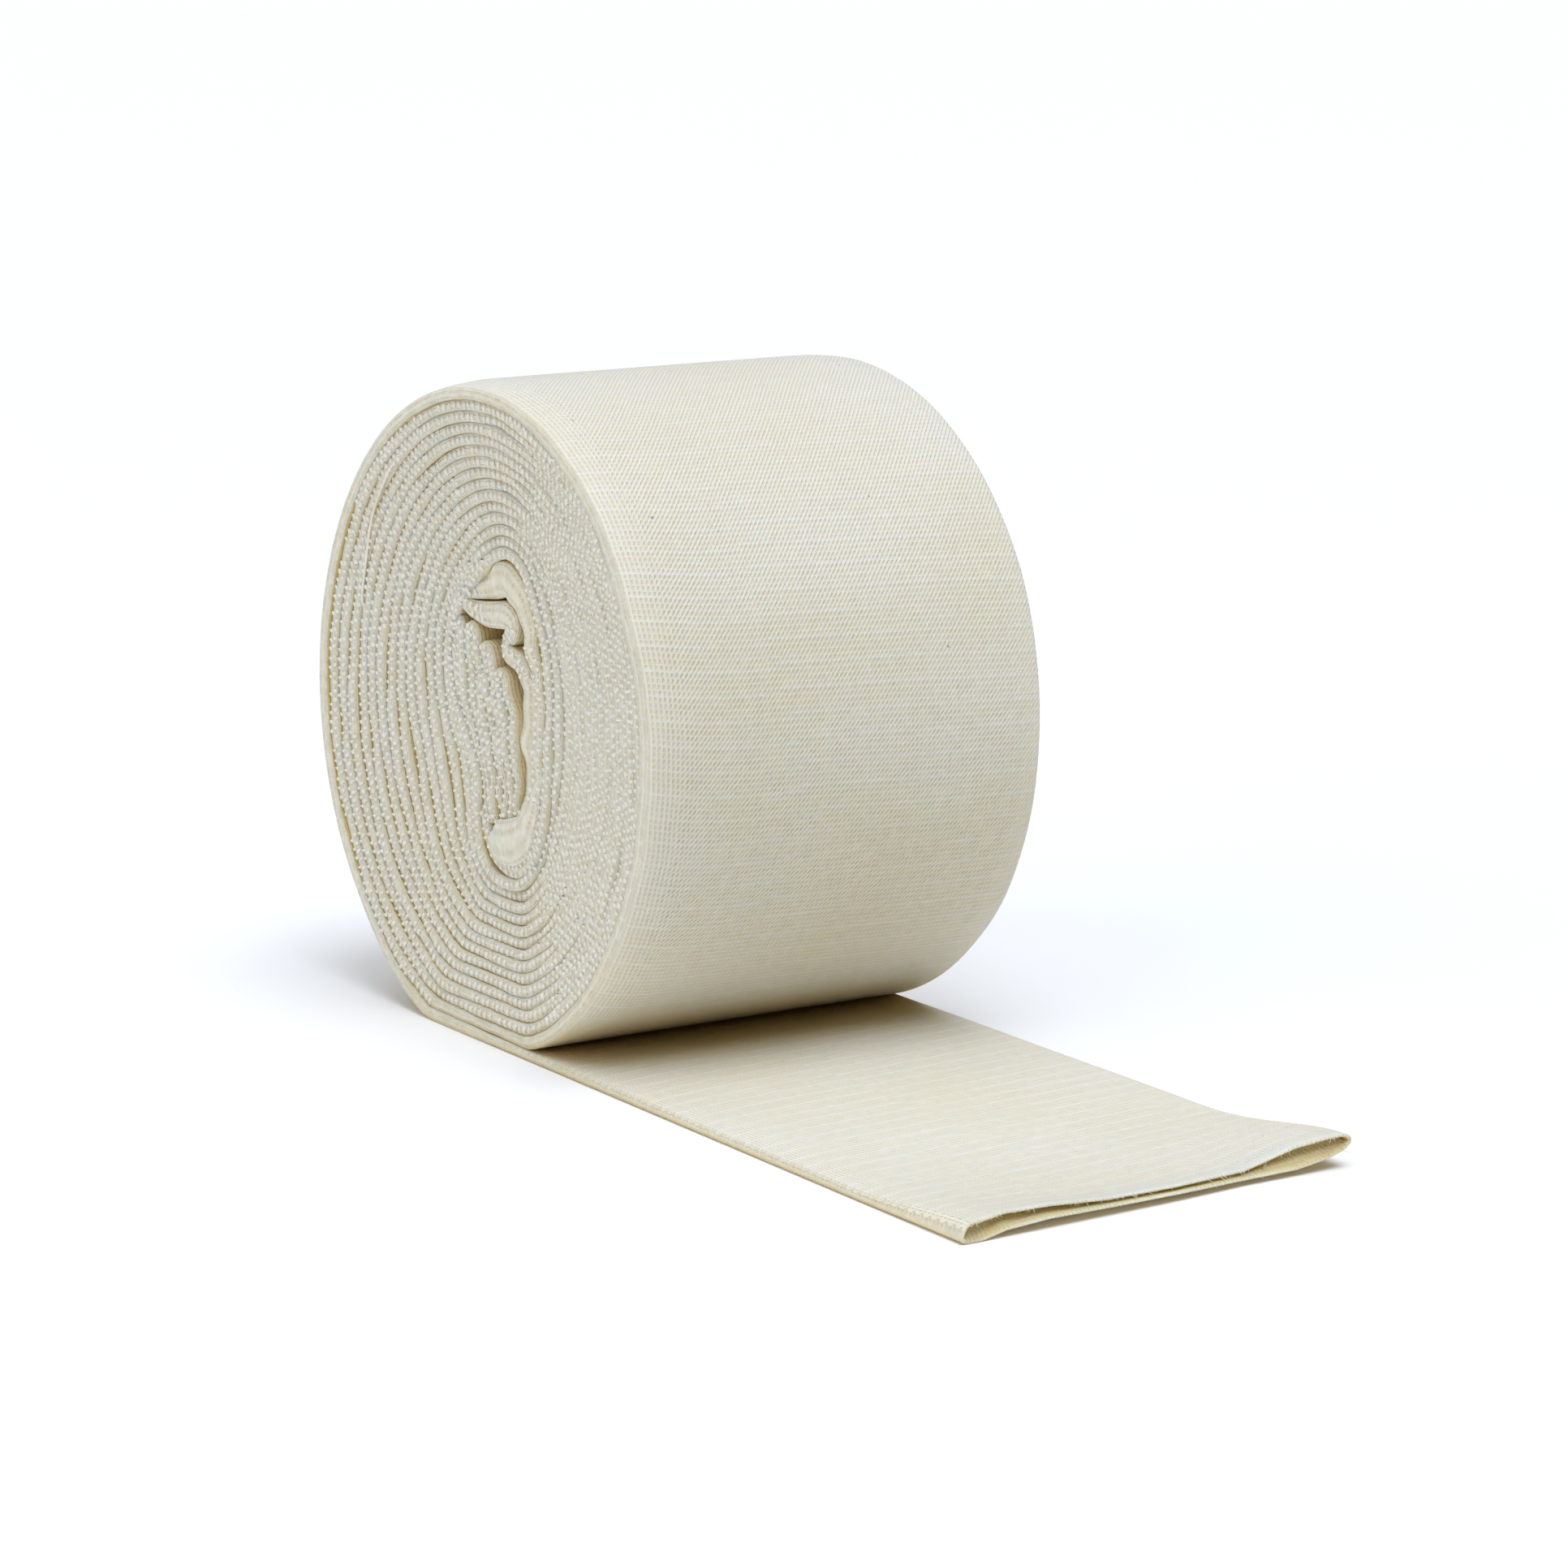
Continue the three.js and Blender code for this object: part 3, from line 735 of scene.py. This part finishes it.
def knitted_cotton():
    """Unbleached cotton knitted in the round, with covered elastic laid in every fourth row.

    To the eye it is matt and cream, in rows of small slanted dark gaps between bright legs of yarn, with fine
    brighter lines across the tube. The gaps' darkness is partly the knit's own and partly painted shade. The
    rows bow down from the left fold, because the tube is pulled on as it is rolled, and the elastic comes up
    one row higher past the tube's first third. The gaps' painted shade shows least over the roll's top, where
    the light falls straight on it. Two rows of dashes run beside the pulled-out end's left fold. Painted
    shade makes the cloth warmer and darker where it is folded deep into itself, between the turns and inside
    the tube."""
    finish = bpy.context.scene.bandage_knit
    material = bpy.data.materials.new("knitted_cotton")
    material.use_nodes = True
    material.node_tree.nodes.clear()
    add = partial(add_node, material.node_tree)
    wale, course, width = finish.wale / MM, finish.course / MM, 2 * HALF_WIDTH

    # Millimetres round the tube, along it, from the left fold on either ply, and from the nearer fold
    uv = add("UVMap", uv_map="ClothUV").outputs["UV"]
    round_tube, along_tube = add("SeparateXYZ", uv).outputs[:2]
    girth = add("Math DIVIDE", round_tube, MM)
    length = add("Math DIVIDE", along_tube, MM)
    from_left = add("Math PINGPONG", girth, width)
    to_fold = add("Math PINGPONG", girth, width / 2)

    # The rows bow by a parabola beside the left fold and by an even slope beyond it, and they wobble
    left_share = add("MapRange", from_left, 0.0, BOW["width"], 1.0, 0.0)
    left_square = add("Math POWER", left_share, 2.0)
    left_bow = add("Math MULTIPLY_ADD", left_square, -BOW["left"], BOW["left"])
    beyond = add("MapRange", from_left, BOW["width"], width, 0.0, BOW["slope"] * (width - BOW["width"]))
    bow = add("Math ADD", left_bow, beyond)
    wobble_patches = add("TexNoise", uv, PATCHES["wobble"], 1.0)
    wobble = add("MapRange", wobble_patches, 0.0, 1.0, -BOW["wobble"], BOW["wobble"])
    wobbled = add("Math ADD", length, wobble)
    along = add("Math SUBTRACT", wobbled, bow)

    # One dark gap to a stitch, partly painted shade: a line that leans across its row and fades towards the
    # next one
    row_share = add("Math FRACT", add("Math DIVIDE", along, course))
    in_row = add("Math SUBTRACT", row_share, 0.5)
    slant = add("MapRange SMOOTHSTEP", from_left, 3.0, 12.0, 0.1, wale)
    leant = add("Math MULTIPLY_ADD", in_row, slant, from_left)
    off_gap = add("Math PINGPONG", add("Math ADD", leant, wale / 2), wale / 2)
    gap_across = add("MapRange SMOOTHSTEP", off_gap, 0.04, 0.24, 1.0, 0.0)
    off_row = add("Math ABSOLUTE", in_row)
    gap_along = add("MapRange SMOOTHSTEP", off_row, 0.16, 0.46, 1.0, 0.25)
    gap = add("Math MULTIPLY", gap_across, gap_along)

    # The elastic lines: one row higher past a wandering step, worn in patches, and dotted once to a stitch
    step_patches = add("TexNoise", uv, PATCHES["step"], 0.0)
    step_at = add("MapRange SMOOTHSTEP", step_patches, 0.4, 0.6, BOW["width"], BOW["width"] + 12.0)
    stepped = add("Math GREATER_THAN", from_left, step_at)
    pitch = course * finish.courses_per_elastic
    elastic_row = add("Math MULTIPLY_ADD", stepped, course, along)
    off_line = add("Math PINGPONG", add("Math ADD", elastic_row, pitch / 2), pitch / 2)
    worn = add("MapRange SMOOTHSTEP", add("TexNoise", uv, PATCHES["line"], 2.0), 0.35, 0.6, 0.4, 1.0)
    on_flat = add("MapRange SMOOTHSTEP", to_fold, 1.0, 3.0, 0.15, 1.0)
    dotted = add("Math COSINE", add("Math DIVIDE", from_left, wale / FULL_TURN))
    dots = add("Math MULTIPLY_ADD", dotted, -0.3, 0.7)
    line = add("MapRange SMOOTHSTEP", off_line, 0.1, 0.55, 1.0, 0.0)
    for factor in (worn, on_flat, dots):
        line = add("Math MULTIPLY", line, factor)
    line_share = add("MapRange SMOOTHSTEP", length, *SPANS["plain_tail"], 0.75, 0.42)
    elastic = add("Math MULTIPLY", line, line_share)

    # How much the gaps' painted shade shows: little beside the folds, at the cut edge and over the roll's
    # top, where the light falls straight on it, and unevenly
    soft_tail = add("MapRange SMOOTHSTEP", length, *SPANS["soft_tail"], 0.9, 0.0)
    soft_core = add("MapRange SMOOTHSTEP", length, *SPANS["soft_core"], 0.0, 0.9)
    soft_ends = add("Math ADD", soft_tail, soft_core)
    off_fold = add("MapRange SMOOTHSTEP", to_fold, 1.0, 9.0, 0.15, 1.0)
    beside_fold = add("Math MAXIMUM", off_fold, soft_ends)
    beside_cut = add("MapRange SMOOTHSTEP", length, *SPANS["cut"], 0.0, 0.6)
    uneven = add("MapRange SMOOTHSTEP", add("TexNoise", uv, PATCHES["stitch"], 2.0), 0.3, 0.7, 0.5, 1.2)
    # Painted light: the gaps' shade is weaker over the roll's top, which the light falls straight on
    off_top = add("Math ABSOLUTE", add("Math SUBTRACT", length, TOP_LIGHT["at"]))
    shade_under_top_light = add("MapRange SMOOTHSTEP", off_top, *TOP_LIGHT["away"], 0.5, 1.2)
    shade = gap
    for factor in (beside_fold, beside_cut, uneven, shade_under_top_light):
        shade = add("Math MULTIPLY", shade, factor)

    # Painted shade on the folds' crests and in the grooves between turns, and the dashes beside the tail's
    # left fold
    patchy = add("MapRange SMOOTHSTEP", add("TexNoise", uv, PATCHES["crease"], 1.0), 0.4, 0.6, 0.3, 0.8)
    on_crest = add("MapRange SMOOTHSTEP", to_fold, 0.8, 1.8, 0.45, 0.0)
    crest_shade = add("Math MULTIPLY", on_crest, patchy)
    painted_groove_shade = add("Attribute", attribute_name="painted_groove_shade").outputs["Fac"]
    groove_shade = add("Math MULTIPLY", painted_groove_shade, patchy)
    off_dashes = add("Math ABSOLUTE", add("Math SUBTRACT", from_left, DASHES["middle"]))
    off_dash_row = add("Math ABSOLUTE", add("Math SUBTRACT", off_dashes, DASHES["half_apart"]))
    off_dash = add("Math PINGPONG", add("Math ADD", length, course), course)
    dash_across = add("MapRange SMOOTHSTEP", off_dash_row, 0.05, 0.25, 1.0, 0.0)
    dash_along = add("MapRange SMOOTHSTEP", off_dash, 0.2 * course, 0.6 * course, 1.0, 0.0)
    dashes = add("MapRange SMOOTHSTEP", length, *SPANS["plain_tail"], 0.9, 0.0)
    for factor in (dash_across, dash_along):
        dashes = add("Math MULTIPLY", dashes, factor)
    for other in (crest_shade, groove_shade, dashes):
        shade = add("Math MAXIMUM", shade, other)

    # Seed specks, and painted shade: a warmer, darker colour inside the tube and deep between its folds,
    # where ambient occlusion and the groove mark say shade falls
    near_speck = add("Math LESS_THAN", add("TexVoronoi", uv, PATCHES["speck"]), 0.06)
    rare = add("Math GREATER_THAN", add("TexNoise", uv, PATCHES["rare"], 0.0), 0.7)
    fleck = add("Math MULTIPLY", add("Math MULTIPLY", near_speck, rare), 0.6)
    inside = add("Attribute", attribute_name="inside").outputs["Fac"]
    open_air = add("AmbientOcclusion", inputs={"Distance": 0.012}, samples=4).outputs["AO"]
    shut_in = add("MapRange SMOOTHSTEP", open_air, 0.1, 0.7, 0.9, 0.0)
    occlusion_shade = add("Math MULTIPLY", shut_in, add("Math SUBTRACT", 1.0, inside))
    deep_groove_shade = add("MapRange SMOOTHSTEP", painted_groove_shade, 0.9, 1.5, 0.0, 0.9)
    crevice_shade = add("Math MAXIMUM", occlusion_shade, deep_groove_shade)

    # Cotton in paler patches and streaks along the rows, with every other colour laid over it by its share;
    # the gaps' colour is partly painted shade, and the inside and crevice colours are painted shade
    streaks = add("TexNoise", add("Mapping", uv, inputs={"Scale": PATCHES["streak"]}), 1.0, 1.0)
    streaked = add("Math MULTIPLY", streaks, 0.15)
    tint = add("Math MULTIPLY_ADD", add("TexNoise", uv, PATCHES["tint"], 3.0), 0.85, streaked)
    pale = add("MapRange SMOOTHSTEP", tint, 0.35, 0.65)
    colour = linear(finish.cotton)
    for share, over in ((pale, finish.cotton_pale), (shade, finish.gap), (elastic, finish.elastic),
                        (fleck, finish.fleck), (inside, finish.inside), (crevice_shade, finish.crevice_shade)):
        colour = add("Mix RGBA", share, colour, linear(over))

    # The elastic stands proud, the gaps lie deep, and fuzz roughens both
    proud = add("Math ADD", line, add("TexNoise", uv, PATCHES["fuzz"], 2.0))
    height = add("Math SUBTRACT", add("Math MULTIPLY", proud, 0.5), gap)
    bump = add("Bump", inputs={"Strength": 1.0, "Distance": 0.0002, "Height": height})
    shader = add("BsdfPrincipled", inputs={
        "Base Color": colour, "Roughness": 0.95, "Normal": bump, "Specular IOR Level": 0.2,
        "Sheen Weight": 0.2, "Sheen Roughness": 0.6, "Subsurface Weight": 0.5,
        "Subsurface Radius": (1.0, 0.75, 0.4), "Subsurface Scale": 0.0016})
    add("OutputMaterial", shader)
    return material


def cotton_yarn():
    """Soft spun cotton yarn where single strands show: paler than the knit, with faint warm patches."""
    finish = bpy.context.scene.bandage_knit
    material = bpy.data.materials.new("cotton_yarn")
    material.use_nodes = True
    tree = material.node_tree
    shader = tree.nodes["Principled BSDF"]
    place = add_node(tree, "TexCoord").outputs["Object"]
    share = add_node(tree, "MapRange", add_node(tree, "TexNoise", place, PATCHES["yarn"], 2.0), 0.42, 0.68)
    colour = add_node(tree, "Mix RGBA", share, linear(finish.yarn), linear(finish.cotton))
    tree.links.new(colour.outputs[2], shader.inputs["Base Color"])
    shader.inputs["Roughness"].default_value = 0.9
    shader.inputs["Specular IOR Level"].default_value = 0.25
    return material


def plain_material(name, colour, roughness):
    """A plain painted finish for the stage."""
    material = bpy.data.materials.new(name)
    material.use_nodes = True
    shader = material.node_tree.nodes["Principled BSDF"]
    shader.inputs["Base Color"].default_value = linear(colour)
    shader.inputs["Roughness"].default_value = roughness
    return material


def put_in_scene(name, mesh, material):
    """An object at the origin that shows the mesh in that material."""
    piece = bpy.data.objects.new(name, mesh)
    bpy.context.scene.collection.objects.link(piece)
    mesh.materials.append(material)
    return piece


def finish_piece(piece):
    """Makes a piece move with the bandage."""
    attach(piece, "root")


class BANDAGE_OT_rolled_tube(bpy.types.Operator):
    """Make the flattened tube, rolled up on its folded start with its cut end pulled out"""
    bl_idname = "bandage.rolled_tube"
    bl_label = "Rolled tube"

    def execute(self, context):
        points, uvs, marks, length = build_cloth()
        mesh = mesh_from_grid("rolled_tube", points, uvs, marks)
        piece = put_in_scene("rolled_tube", mesh, knitted_cotton())
        finish_piece(piece)
        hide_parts("tubular_bandage")
        return {"FINISHED"}


class BANDAGE_OT_fold_stitches(bpy.types.Operator):
    """Make the yarn that stands proud round both side folds of the tube"""
    bl_idname = "bandage.fold_stitches"
    bl_label = "Fold stitches"

    def execute(self, context):
        yarn = cotton_yarn()
        for name, side in (("left_fold_stitches", -1), ("right_fold_stitches", 1)):
            finish_piece(put_in_scene(name, fold_stitches(side, BEADS["seed"] + side), yarn))
        return {"FINISHED"}


class BANDAGE_OT_cut_edge_fibres(bpy.types.Operator):
    """Make the short cut ends of yarn along the open end"""
    bl_idname = "bandage.cut_edge_fibres"
    bl_label = "Cut edge fibres"

    def execute(self, context):
        finish_piece(put_in_scene("cut_edge_fibres", cut_edge_fibres(), cotton_yarn()))
        return {"FINISHED"}


class BANDAGE_OT_loose_thread(bpy.types.Operator):
    """Make the loose end of yarn that lies on the left end"""
    bl_idname = "bandage.loose_thread"
    bl_label = "Loose thread"

    def execute(self, context):
        finish_piece(put_in_scene("loose_thread", loose_thread(), cotton_yarn()))
        return {"FINISHED"}


class BANDAGE_OT_stage(bpy.types.Operator):
    """Make the pale floor, the soft light and the camera"""
    bl_idname = "bandage.stage"
    bl_label = "Stage"

    def execute(self, context):
        stage = context.scene.bandage_stage
        corners = [(-1, -1), (1, -1), (1, 1), (-1, 1)]
        mesh = bpy.data.meshes.new("studio_floor")
        mesh.from_pydata([(FLOOR_HALF * x, FLOOR_HALF * y, 0.0) for x, y in corners], [], [(0, 1, 2, 3)])
        paint = plain_material("painted_floor", stage.floor, 0.9)
        glow = paint.node_tree.nodes["Principled BSDF"].inputs
        glow["Emission Color"].default_value = linear(stage.glow)
        glow["Emission Strength"].default_value = stage.floor_glow
        floor = put_in_scene("studio_floor", mesh, paint)
        world = bpy.data.worlds.new("studio")
        context.scene.world = world
        world.use_nodes = True
        tree = world.node_tree
        seen = add_node(tree, "LightPath").outputs["Is Camera Ray"]
        level = add_node(tree, "MapRange", seen, 0.0, 1.0, stage.sky, 1.0)
        tree.links.new(level.outputs[0], tree.nodes["Background"].inputs["Strength"])
        tree.nodes["Background"].inputs["Color"].default_value = (1.0, 1.0, 1.0, 1.0)
        for name, azimuth, elevation, spread, energy, colour in LIGHTS:
            sun = bpy.data.lights.new(name, "SUN")
            sun.energy = energy * stage.key
            sun.angle = math.radians(spread)
            sun.color = linear(colour)[:3]
            turned = math.radians(azimuth)
            raised = math.radians(elevation)
            source = Vector((math.sin(turned) * math.cos(raised), -math.cos(turned) * math.cos(raised),
                             math.sin(raised)))
            lamp = bpy.data.objects.new(name, sun)
            lamp.rotation_euler = source.to_track_quat("Z", "Y").to_euler()
            context.scene.collection.objects.link(lamp)
        camera = bpy.data.cameras.new("camera")
        camera.sensor_width = 36.0
        camera.lens = stage.focal / FRAME_PIXELS * camera.sensor_width
        camera.dof.use_dof = False
        holder = bpy.data.objects.new("camera", camera)
        holder.matrix_world = camera_matrix(stage)
        context.scene.collection.objects.link(holder)
        context.scene.camera = holder
        context.scene.view_settings.view_transform = "Standard"
        return {"FINISHED"}


def camera_matrix(stage):
    """The camera's place and turn: it looks along yaw and pitch, and is then rolled about that line."""
    flat = np.array([math.sin(stage.yaw), math.cos(stage.yaw), 0.0])
    ahead = math.cos(stage.pitch) * flat + [0, 0, math.sin(stage.pitch)]
    right = np.cross(ahead, [0, 0, 1])
    right /= np.linalg.norm(right)
    up = np.cross(right, ahead)
    rolled_right = math.cos(stage.roll) * right + math.sin(stage.roll) * up
    rolled_up = math.cos(stage.roll) * up - math.sin(stage.roll) * right
    rows = [[rolled_right[i], rolled_up[i], -ahead[i], stage.place[i]] for i in range(3)]
    return Matrix(rows + [[0, 0, 0, 1]])


class BANDAGE_PT_sidebar(bpy.types.Panel):
    """The bandage's sizes, finish and pieces"""
    bl_idname = "BANDAGE_PT_sidebar"
    bl_label = "Bandage"
    bl_space_type = "VIEW_3D"
    bl_region_type = "UI"
    bl_category = "Bandage"

    def draw(self, context):
        for group in (context.scene.bandage_cloth, context.scene.bandage_knit, context.scene.bandage_stage):
            box = self.layout.box()
            for name in group.__annotations__:
                box.prop(group, name)
        for operator in OPERATORS:
            self.layout.operator(operator.bl_idname)


OPERATORS = (BANDAGE_OT_rolled_tube, BANDAGE_OT_fold_stitches, BANDAGE_OT_cut_edge_fibres,
             BANDAGE_OT_loose_thread, BANDAGE_OT_stage)
CLASSES = (ClothSizes, KnitFinish, StageSettings, *OPERATORS, BANDAGE_PT_sidebar)


def register():
    for cls in CLASSES:
        bpy.utils.register_class(cls)
    bpy.types.Scene.bandage_cloth = bpy.props.PointerProperty(type=ClothSizes)
    bpy.types.Scene.bandage_knit = bpy.props.PointerProperty(type=KnitFinish)
    bpy.types.Scene.bandage_stage = bpy.props.PointerProperty(type=StageSettings)


def unregister():
    del bpy.types.Scene.bandage_stage
    del bpy.types.Scene.bandage_knit
    del bpy.types.Scene.bandage_cloth
    for cls in reversed(CLASSES):
        bpy.utils.unregister_class(cls)


def main():
    register()
    bpy.ops.bandage.rolled_tube()
    bpy.ops.bandage.fold_stitches()
    bpy.ops.bandage.cut_edge_fibres()
    bpy.ops.bandage.loose_thread()
    bpy.ops.bandage.stage()


if __name__ == "__main__":
    main()
